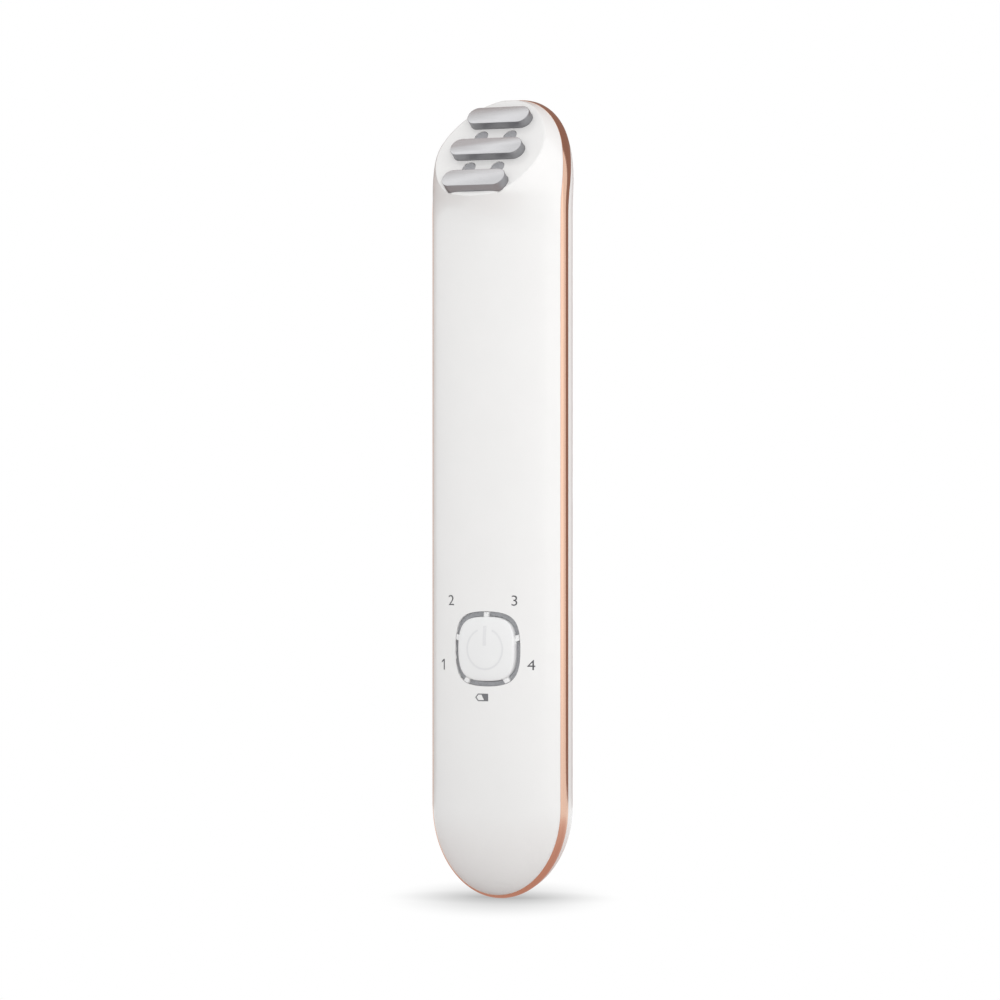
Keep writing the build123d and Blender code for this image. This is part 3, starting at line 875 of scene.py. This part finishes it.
@dataclass
class TreatmentHead:
    """The electrode bars and the light windows on the bevelled face.

    Attributes:
        bar_width: Width of a bar, mm.
        bar_proud: Its height over the bevelled face, mm.
        bar_sink: Its depth under the bevelled face, mm.
        bar_rim: Width of the rounded edge round its top, mm.
        bar_pitch: From bar to bar, mm.
        bar_lengths: Lengths of the lower, middle and upper bar, mm.
        window_radius: Radius of a window, mm.
        window_depth: Depth of its top under the bevelled face, mm.
        window_length: Length of its light guide, mm.
        window_rim: Width of the rounded edge round its top, mm.
        window_spacing: Between the windows of a row, mm.
        edge_slack: How near to the top an edge has to lie to be rounded, mm.
        round_facets: Facets of each quarter of a bar's round ends.
        rim_facets: Facets of a rounded edge.
        side_from: A face that looks away from the bevelled face's direction, by this cosine, is a side and
            takes the sides' painted shade.
    """

    bar_width: float = 4.4
    bar_proud: float = 2.0
    bar_sink: float = 2.8
    bar_rim: float = 0.5
    bar_pitch: float = 8.7
    bar_lengths: tuple[float, float, float] = (15.1, 17.2, 14.9)
    window_radius: float = 1.55
    window_depth: float = 0.1
    window_length: float = 4.25
    window_rim: float = 0.18
    window_spacing: float = 7.0
    edge_slack: float = 0.01
    round_facets: int = 14
    rim_facets: int = 4
    side_from: float = 0.85

    def face_matrix(self) -> Matrix:
        """Place and turn of the bevelled face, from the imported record.

        Returns:
            A matrix that puts a piece drawn on the XY plane onto the face, Y up the slope.
        """
        mount = next(m for m in frame["record"]["mounts"] if m["name"] == "treatment_face")
        out = Vector(mount["axis"]).normalized()
        across = Vector((1, 0, 0))
        up = out.cross(across)
        origin = Vector(mount["pos_m"]) - out * self.bar_proud * MM
        turn = Matrix((across, up, out)).transposed().to_4x4()
        return Matrix.Translation(origin) @ turn

    @staticmethod
    def bevel_edges(
        piece: Piece, wanted: Callable[[Vector, Vector], bool], width: float, segments: int
    ) -> None:
        """Bevels the edges that a test picks.

        Args:
            piece: The piece.
            wanted: Takes an edge's two ends and says whether the edge is bevelled.
            width: Width of the bevel, mm.
            segments: Number of its facets.
        """
        select_only(piece)
        bpy.ops.object.mode_set(mode="EDIT")
        bpy.ops.mesh.select_mode(type="EDGE")
        bpy.ops.mesh.select_all(action="DESELECT")
        bpy.ops.object.mode_set(mode="OBJECT")
        mesh = piece.data
        for edge in mesh.edges:
            first, second = (mesh.vertices[i].co for i in edge.vertices)
            edge.select = wanted(first, second)
        bpy.ops.object.mode_set(mode="EDIT")
        bpy.ops.mesh.bevel(offset=width * MM, segments=segments, affect="EDGES", clamp_overlap=True)
        bpy.ops.object.mode_set(mode="OBJECT")

    def seat(self, piece: Piece, top: float, rim: float, angle: float) -> None:
        """Rounds a piece's top edge and puts the piece on the bevelled face.

        Args:
            piece: The piece, drawn on the XY plane.
            top: Height of its top, mm.
            rim: Width of the rounded edge, mm.
            angle: What smooth takes.
        """
        least = (top - self.edge_slack) * MM
        self.bevel_edges(piece, lambda a, b: min(a.z, b.z) > least, rim, self.rim_facets)
        piece.data.transform(self.face_matrix())
        smooth(piece, angle)

    def bar(self, name: str, length: float, place: float) -> Piece:
        """Models a bar, a block with round ends.

        Args:
            name: The bar's name.
            length: Its length, mm.
            place: Its middle up the slope, mm.

        Returns:
            The bar, on the bevelled face.
        """
        height = self.bar_proud + self.bar_sink
        size = (length * MM, self.bar_width * MM, height * MM)
        middle = (0, place * MM, (self.bar_proud - height / 2) * MM)
        piece = make(name, bpy.ops.mesh.primitive_cube_add, size=1, location=middle, scale=size)
        apply_place(piece)
        # A hair under half the width, so that an end's two round corners don't overlap
        end = self.bar_width / 2 * 0.999
        upright = height / 2 * MM
        self.bevel_edges(piece, lambda a, b: abs(a.z - b.z) > upright, end, self.round_facets)
        self.seat(piece, self.bar_proud, self.bar_rim, 32)
        return piece

    def window(self, name: str, x: float, y: float) -> Piece:
        """Models a window, which is a round light guide.

        Args:
            name: The window's name.
            x: Its middle across the face, mm.
            y: Its middle up the slope, mm.

        Returns:
            The window, in the bevelled face.
        """
        top = -self.window_depth
        piece = make(
            name,
            bpy.ops.mesh.primitive_cylinder_add,
            vertices=48,
            radius=self.window_radius * MM,
            depth=self.window_length * MM,
            location=(x * MM, y * MM, (top - self.window_length / 2) * MM),
        )
        apply_place(piece)
        self.seat(piece, top, self.window_rim, 35)
        return piece

    def build(self) -> None:
        """Makes the bars and the windows."""
        steel, satin = ELECTRODE.build(), ELECTRODE_SIDE_SHADE.build()
        out = self.face_matrix().to_3x3().col[2]
        for row, name in enumerate(("lower", "middle", "upper")):
            bar = self.bar(f"{name}_bar", self.bar_lengths[row], (row - 1) * self.bar_pitch)
            settle(bar, HOUSING, "electrode_metal", steel, f"electrode_{name}")
            bar.data.materials.append(satin)
            # Faces that turn away from the bevelled face take the darker grey, painted shade on the bars'
            # sides
            for face in bar.data.polygons:
                face.material_index = int(face.normal.dot(out) < self.side_from)
        grey = WINDOW_GREY.build()
        for row, y in (("lower", -0.5), ("upper", 0.5)):
            for side, x in (("left", -0.5), ("right", 0.5)):
                piece = self.window(f"{row}_{side}_window", x * self.window_spacing, y * self.bar_pitch)
                settle(piece, HOUSING, "smoked_window", grey, f"window_{row}_{side}")


@dataclass
class ControlPanel:
    """The power button, the light ring and what is printed round them.

    Attributes:
        centre_height: Height of the button's centre over the wand's middle, mm.
        ring_recess: How deep the light ring lies under the form, mm.
        digit_height: Height of a digit, mm.
        digit_line: Line width of a digit, mm.
        digit_widening: How much wider than plain type the digits are.
        digit_share: A digit's height as a share of its type's size.
        digit_thinning: What each side of a line loses against plain type, mm.
        flag: Reach and drop of the figure 1's flag, mm.
        sign_radius: Radius of the power sign, mm.
        sign_line: Line width of its ring, mm; its bar is twice as wide.
        sign_opening: Half the gap in its ring, degrees.
        sign_bar: Lower and upper end of its bar, mm.
        sign_steps: Facets of its ring.
        film: Thickness of the ink, mm.
        film_gap: From the surface to the ink, mm.
        weld: Nearer points of an outline are joined, mm.
        print_depth: Depth in front of the wand from which the ink is laid, mm.
    """

    centre_height: float = -32.0
    ring_recess: float = 0.6
    digit_height: float = 2.27
    digit_line: float = 0.27
    digit_widening: float = 1.16
    digit_share: float = 0.72
    digit_thinning: float = 0.02
    flag: Point = (0.62, 0.5)
    sign_radius: float = 4.3
    sign_line: float = 0.4
    sign_opening: float = 24.0
    sign_bar: Point = (0.7, 4.9)
    sign_steps: int = 56
    film: float = 0.03
    film_gap: float = 0.01
    weld: float = 0.002
    print_depth: float = -30.0

    def printed(self, name: str, outlines: Sequence[Outline], centre: Point, surface: Piece) -> Piece:
        """Prints closed outlines on a surface that faces the front.

        Args:
            name: The piece's name.
            outlines: Closed outlines in mm round their centre; one inside another is a hole.
            centre: Place across and up, mm.
            surface: The piece that takes the ink.

        Returns:
            The printed piece.
        """
        curve = bpy.data.curves.new(name, "CURVE")
        curve.dimensions = "2D"
        curve.fill_mode = "BOTH"
        for outline in outlines:
            spline = curve.splines.new("POLY")
            spline.points.add(len(outline) - 1)
            for point, (x, y) in zip(spline.points, outline):
                point.co = (x * MM, y * MM, 0, 1)
            spline.use_cyclic_u = True
        return self.laid_on(link(name, curve), centre, surface)

    def laid_on(self, piece: Piece, centre: Point, surface: Piece) -> Piece:
        """Turns a flat curve or text into a film of ink on a surface.

        Args:
            piece: The flat curve or text, drawn on the XY plane.
            centre: Place across and up, mm.
            surface: The piece that takes the ink.

        Returns:
            The same object, as a mesh that follows the surface.
        """
        select_only(piece)
        bpy.ops.object.convert(target="MESH")
        piece = bpy.context.object
        apply_place(piece)
        piece.data.transform(Matrix.Rotation(radians(90), 4, "X"))
        start = Vector((centre[0], self.print_depth, centre[1])) * MM
        piece.data.transform(Matrix.Translation(start))
        edit_all(
            piece,
            lambda: bpy.ops.mesh.remove_doubles(threshold=self.weld * MM),
            bpy.ops.mesh.quads_convert_to_tris,
            lambda: bpy.ops.mesh.subdivide(number_cuts=1),
        )
        wrap = piece.modifiers.new("lay", "SHRINKWRAP")
        wrap.target = surface
        wrap.wrap_method, wrap.wrap_mode = "PROJECT", "ABOVE_SURFACE"
        wrap.use_project_x, wrap.use_project_y = False, True
        wrap.use_positive_direction, wrap.use_negative_direction = True, False
        wrap.offset = self.film_gap * MM
        ink = piece.modifiers.new("film", "SOLIDIFY")
        ink.thickness, ink.offset = self.film * MM, 1.0
        for modifier in (wrap.name, ink.name):
            bpy.ops.object.modifier_apply(modifier=modifier)
        return piece

    def digit(self, text: str, centre: Point, surface: Piece) -> Piece:
        """Prints one digit in plain type.

        Args:
            text: The digit.
            centre: Place of its centre across and up, mm.
            surface: The piece that takes the ink.

        Returns:
            The printed piece.
        """
        letters = bpy.data.curves.new(f"digit_{text}", "FONT")
        letters.body = text
        letters.align_x = "CENTER"
        letters.align_y = "CENTER"
        letters.size = self.digit_height / self.digit_share * MM
        letters.offset = -self.digit_thinning * MM
        letters.resolution_u = 6
        piece = link(f"digit_{text}", letters)
        piece.scale.x = self.digit_widening
        return self.laid_on(piece, centre, surface)

    def figure_one(self) -> Outline:
        """Draws the figure 1, a stem with a flag.

        Returns:
            Its outline, mm.
        """
        top, half, line = self.digit_height / 2, self.digit_line / 2, self.digit_line
        tip, drop, notch = -half - self.flag[0], top - self.flag[1], 0.08
        stem = [(-half, -top), (half, -top), (half, top), (-half, top)]
        return [*stem, (tip, drop), (tip, drop - line), (-half, top - line - notch)]

    def power_sign(self) -> list[Outline]:
        """Draws the power sign, a ring that is open at the top and a bar through the gap.

        Returns:
            Both outlines, mm.
        """
        opening = radians(self.sign_opening)
        step = (2 * pi - 2 * opening) / self.sign_steps
        angles = [pi / 2 + opening + i * step for i in range(self.sign_steps + 1)]
        outer = self.sign_radius + self.sign_line / 2
        inner = self.sign_radius - self.sign_line / 2
        ring = [(outer * cos(a), outer * sin(a)) for a in angles]
        ring += [(inner * cos(a), inner * sin(a)) for a in reversed(angles)]
        half, (low, high) = self.sign_line, self.sign_bar
        return [ring, [(-half, low), (half, low), (half, high), (-half, high)]]

    @staticmethod
    def battery_sign() -> list[Outline]:
        """Draws the battery sign, the case of a small cell and its empty part.

        Returns:
            Both outlines, mm.
        """
        case = [(-1.6, 0.0), (-0.9, 0.8), (1.6, 0.8), (1.6, -0.8), (-0.9, -0.8)]
        empty = [(-1.3, 0.0), (-0.78, 0.58), (0.0, 0.58), (0.6, -0.58), (-0.78, -0.58)]
        return [case, empty]

    def build(self, front: Piece, shells: Shells) -> None:
        """Makes the button, dresses the ring and prints the signs.

        Args:
            front: The front shell, which takes the digits.
            shells: What shades a copy by the wand's form.
        """
        cap = smooth_copy("power_button", "button_cap")
        settle(cap, BUTTON, "button_white", CAP_ABS.build(), "power_button")
        ring = RING_GREY.build()
        for segment in ("level_1", "level_2", "level_3", "level_4", "battery"):
            guide = smooth_copy(f"{segment}_light", f"{segment}_guide")
            shells.true_shading(guide, self.ring_recess)
            settle(guide, HOUSING, "ring_diffuser", ring, f"{segment}_light")
        ink = DARK_INK.build()
        z = self.centre_height
        low, high = z - 3.45, z + 10.1
        digits = {"1": (-11.25, low), "2": (-9.15, high), "3": (6.65, high + 0.05), "4": (10.3, low)}
        for text, place in digits.items():
            if text == "1":
                piece = self.printed("digit_1", [self.figure_one()], place, front)
            else:
                piece = self.digit(text, place, front)
            settle(piece, HOUSING, "inner_plastic", ink)
        battery = self.printed("battery_sign", self.battery_sign(), (-1.1, z - 10.3), front)
        settle(battery, HOUSING, "inner_plastic", MIDDLE_INK.build())
        sign = self.printed("power_sign", self.power_sign(), (0, z), cap)
        settle(sign, BUTTON, "button_white", PALE_INK.build())


class Inside:
    """All that the shells hide, each CAD node in its own finish."""

    def build(self) -> None:
        """Dresses the inner nodes."""
        materials = {slot: finish.build() for slot, finish in INNER_FINISHES.items()}
        slots = {s["node"]: s["material_slot"] for s in frame["record"]["subparts"]}
        for node, slot in slots.items():
            if slot in materials:
                dress(frame["nodes"][node], materials[slot])
                LOG.info("%s dressed as %s", node, slot)


@dataclass(frozen=True)
class SoftBox:
    """One square lamp that points at the wand's middle.

    Attributes:
        name: The lamp's name.
        turn: Angle round the wand from the camera's side, degrees.
        distance: Distance from the wand's axis, m.
        height: Height over the wand's middle, m.
        side: Side of the box, m.
        watts: Power.
        in_gloss: Whether glossy pieces mirror it.
    """

    name: str
    turn: float
    distance: float
    height: float
    side: float
    watts: float
    in_gloss: bool = True


SOFT_BOXES = (
    # Broad light from the right of the camera, which models the front
    SoftBox("key_right", 45, 0.9, 0.25, 0.8, 0.62),
    # Even light from the camera's side
    SoftBox("front", 3, 0.8, 0.085, 0.36, 1.08, in_gloss=False),
    # Brightens the right flank and the neck
    SoftBox("rim_right", 105, 0.6, 0.35, 0.3, 0.6, in_gloss=False),
)


@dataclass
class Studio:
    """Floor, lights, background and camera.

    Attributes:
        yaw: Turn of the camera round the wand, degrees.
        distance: From the camera to the wand, m.
        pixels_per_mm: Size of the wand in the 1000 pixel picture.
        aim: Middle of the picture from the wand's middle, across and up, mm.
        floor_radius: Radius of the floor, m.
        floor_gap: From the floor to the wand's lowest point, mm.
        contact_reach: Reach of the dark line where the foot meets the floor, m.
        contact_range: How open the floor is at its darkest and at its end.
        contact_tone: Its tone.
        foot_place: Where the wand stands, m.
        shadow_size: Reach of the soft shadow across the view and along it, mm.
        shadow_tone: Its tone under the foot.
        bright_side: Where the soft light is strongest, degrees to the camera's right.
        soft_light: Mean strength of the soft light.
        side_light: How far it strays from its mean.
        paper: Colour of the floor as it lights the wand.
        paper_shade: The same under the foot, darker: painted shade that dims the light the floor bounces
            onto the foot.
        mirror_pool: Reach of the painted shade that gloss sees on the floor, m.
        mirror_tone: Its tone under the foot.
        mirror_tint: Its colour there, a painted tint that stands in for the band's light on the floor.
        cloth_glow: Brightness of the cloth that gloss sees behind the wand, a painted reflection.
        cloth_tint: Its colour, the warm grey of that painted reflection.
        cloth_gap: From the wand to the cloth, m.
        cloth_edges: Its left, right, lower and upper edges as the camera has them, m.
        strip_size: Width and length of the strip over the head, m.
        strip_watts: Its power.
        strip_way: From the head to the strip, m.
        head_place: Middle of the bevelled face, mm.
    """

    yaw: float = 30.0
    distance: float = 1.17
    pixels_per_mm: float = 4.657
    aim: Point = (-5.85, -0.45)
    floor_radius: float = 6.0
    floor_gap: float = 0.05
    contact_reach: float = 0.016
    contact_range: Point = (0.25, 0.97)
    contact_tone: float = 0.72
    foot_place: tuple[float, float, float] = (0.0, -0.012, 0.0)
    shadow_size: tuple[float, float, float] = (26.0, 62.0, 62.0)
    shadow_tone: float = 0.66
    bright_side: float = 40.0
    soft_light: float = 0.82
    side_light: float = 0.15
    paper: str = "F4F4F4"
    paper_shade: str = "C4C4C4"
    mirror_pool: float = 0.14
    mirror_tone: float = 0.55
    mirror_tint: str = "FFCDBE"
    cloth_glow: float = 0.33
    cloth_tint: str = "FFD6C8"
    cloth_gap: float = 0.06
    cloth_edges: tuple[float, float, float, float] = (-0.12, 0.3, -0.07, 0.5)
    strip_size: Point = (0.012, 0.07)
    strip_watts: float = 0.0016
    strip_way: tuple[float, float, float] = (-0.05, -0.0224, 0.0837)
    head_place: tuple[float, float, float] = (0.0, -17.8, 74.6)

    def camera(self) -> None:
        """Puts the camera where the photograph was taken from."""
        turn = radians(self.yaw)
        right = Vector((cos(turn), sin(turn), 0))
        back = Vector((sin(turn), -cos(turn), 0))
        aim = right * self.aim[0] * MM + Vector((0, 0, self.aim[1] * MM))
        sensor, pixels = 36.0, 1000
        data = bpy.data.cameras.new("camera")
        data.sensor_width = sensor
        data.lens = sensor * self.distance * self.pixels_per_mm / (pixels * MM)
        data.clip_start = 0.05
        data.clip_end = 20.0
        camera = link("camera", data)
        camera.location = aim + back * self.distance
        camera.rotation_euler = (radians(90), 0, turn)
        bpy.context.scene.camera = camera

    @staticmethod
    def hang(name: str, spot: Vector, aim: Vector, size: Point, watts: float) -> Piece:
        """Hangs an area lamp.

        Args:
            name: The lamp's name.
            spot: Its place, m.
            aim: What it points at, m.
            size: Its width and length, m.
            watts: Its power.

        Returns:
            The lamp.
        """
        data = bpy.data.lights.new(name, "AREA")
        data.shape = "RECTANGLE"
        data.size, data.size_y = size
        data.energy = watts
        lamp = link(name, data)
        lamp.location = spot
        lamp.rotation_euler = (aim - spot).to_track_quat("-Z", "Y").to_euler()
        return lamp

    def lamps(self) -> None:
        """Hangs the soft boxes and a narrow strip over the head, whose soft edge lies along the bars."""
        for box in SOFT_BOXES:
            angle = radians(self.yaw + box.turn)
            spot = Vector((sin(angle) * box.distance, -cos(angle) * box.distance, box.height))
            lamp = self.hang(box.name, spot, Vector(), (box.side, box.side), box.watts)
            lamp.visible_glossy = box.in_gloss
        head = Vector(self.head_place) * MM
        self.hang("bar_strip", head + Vector(self.strip_way), head, self.strip_size, self.strip_watts)

    @staticmethod
    def round_pool(tree: Tree, mapping: dict[str | int, object]) -> Socket:
        """Draws a soft round spot.

        Args:
            tree: The floor's tree.
            mapping: Place, turn and size of the spot.

        Returns:
            The socket, 1 in the spot's middle and 0 at its edge.
        """
        place = add_node(tree, "TexCoord").outputs["Object"]
        spot = add_node(tree, "Mapping", {"Vector": place, **mapping}, vector_type="TEXTURE")
        centred = {"Vector": spot.outputs["Vector"]}
        return add_node(tree, "TexGradient", centred, gradient_type="SPHERICAL").outputs["Fac"]

    def floor(self) -> None:
        """Lays a white floor that shows as white, with the wand's shadow painted into it."""
        lowest = CAD_BOX[0].z - self.floor_gap * MM
        floor = make(
            "floor",
            bpy.ops.mesh.primitive_circle_add,
            vertices=96,
            radius=self.floor_radius,
            fill_type="NGON",
            location=(0, 0, lowest),
        )
        material = bpy.data.materials.new("white_paper_floor")
        tree = fresh_tree(material)
        gloss = add_node(tree, "LightPath").outputs["Is Glossy Ray"]
        wide = self.round_pool(tree, {"Scale": (self.mirror_pool,) * 3})
        # A soft oval of painted shadow under the foot
        foot = {
            "Location": self.foot_place,
            "Rotation": (0, 0, radians(self.yaw)),
            "Scale": tuple(size * MM for size in self.shadow_size),
        }
        pool = self.round_pool(tree, foot)
        openness = add_node(
            tree, "AmbientOcclusion", {"Distance": self.contact_reach}, samples=16
        ).outputs["AO"]
        # Painted shadow: a dark contact line where ambient occlusion finds the foot near
        contact = remap(tree, openness, self.contact_range, (self.contact_tone, 1.0))
        soft = remap(tree, pool, (0.0, 1.0), (1.0, self.shadow_tone), "SMOOTHSTEP")
        seen = reckon(tree, "MULTIPLY", contact, soft)
        # What gloss sees on the floor: painted shade round the foot, with a painted tint of the band's
        # light
        mirrored = remap(tree, wide, (0.0, 1.0), (1.0, self.mirror_tone))
        in_gloss = reckon(tree, "MULTIPLY", gloss, wide)
        glow = add_node(
            tree,
            "Emission",
            {
                "Color": blend(tree, in_gloss, (1, 1, 1, 1), srgb(self.mirror_tint)),
                "Strength": blend(tree, gloss, seen, mirrored, is_colour=False),
            },
        ).outputs["Emission"]
        # The floor's colour greys round the foot, painted shade in the light it bounces
        shaded = blend(tree, wide, srgb(self.paper), srgb(self.paper_shade))
        paper = add_node(tree, "BsdfDiffuse", {"Color": shaded}).outputs["BSDF"]
        mix = add_node(tree, "MixShader", {0: self.sees_white(tree), 1: paper, 2: glow})
        finish_tree(tree, mix.outputs["Shader"])
        dress(floor, material)

    @staticmethod
    def sees_white(tree: Tree) -> Socket:
        """Picks the rays that see the surroundings as plain white.

        Args:
            tree: The tree of the floor or the world.

        Returns:
            The socket, 1 for what the camera sees straight, in a gloss or through glass.
        """
        rays = add_node(tree, "LightPath").outputs
        straight = reckon(tree, "MAXIMUM", rays["Is Camera Ray"], rays["Is Glossy Ray"])
        return reckon(tree, "MAXIMUM", straight, rays["Is Transmission Ray"])

    def world(self) -> None:
        """Surrounds the wand with soft light that is stronger from the right."""
        world = bpy.data.worlds.new("studio")
        bpy.context.scene.world = world
        tree = fresh_tree(world)
        turn = radians(self.yaw + self.bright_side)
        way = add_node(tree, "TexCoord").outputs["Generated"]
        to_side = {0: way, 1: (sin(turn), -cos(turn), 0.0)}
        side = add_node(tree, "VectorMath", to_side, operation="DOT_PRODUCT").outputs["Value"]
        strengths = (self.soft_light - self.side_light, self.soft_light + self.side_light)
        soft = remap(tree, side, (-1.0, 1.0), strengths)
        strength = blend(tree, self.sees_white(tree), soft, 1.0, is_colour=False)
        light = add_node(tree, "Background", {"Color": (1, 1, 1, 1), "Strength": strength})
        finish_tree(tree, light.outputs["Background"], "OutputWorld")

    def backdrop(self) -> None:
        """Hangs a grey cloth behind the wand that only gloss sees, a painted reflection which draws its
        edges in grey.
        """
        cloth = make(
            "gloss_only_shade_sheet", bpy.ops.mesh.primitive_grid_add, x_subdivisions=1, y_subdivisions=1, size=1
        )
        left, right, low, high = self.cloth_edges
        middle = Vector(((left + right) / 2, self.cloth_gap, (low + high) / 2))
        size = Matrix.Diagonal((right - left, high - low, 1, 1))
        upright = Matrix.Translation(middle) @ Matrix.Rotation(radians(90), 4, "X") @ size
        cloth.data.transform(Matrix.Rotation(radians(self.yaw), 4, "Z") @ upright)
        material = bpy.data.materials.new("painted_reflection_cloth")
        tree = fresh_tree(material)
        # The grey glow is a painted reflection; all other rays pass through the cloth
        glow = {"Color": srgb(self.cloth_tint), "Strength": self.cloth_glow}
        grey = add_node(tree, "Emission", glow).outputs["Emission"]
        clear = add_node(tree, "BsdfTransparent").outputs["BSDF"]
        gloss = add_node(tree, "LightPath").outputs["Is Glossy Ray"]
        mix = add_node(tree, "MixShader", {0: gloss, 1: clear, 2: grey})
        finish_tree(tree, mix.outputs["Shader"])
        dress(cloth, material)

    def build(self) -> None:
        """Sets the stage."""
        bpy.context.scene.view_settings.view_transform = "Standard"
        self.floor()
        self.world()
        self.lamps()
        self.backdrop()
        self.camera()


def main() -> None:
    """Builds the sub-assemblies in order."""
    shells = Shells(WandForm())
    front = shells.build()
    TreatmentHead().build()
    ControlPanel().build(front, shells)
    Inside().build()
    Studio().build()


if __name__ == "__main__":
    logging.basicConfig(level=logging.INFO)
    main()
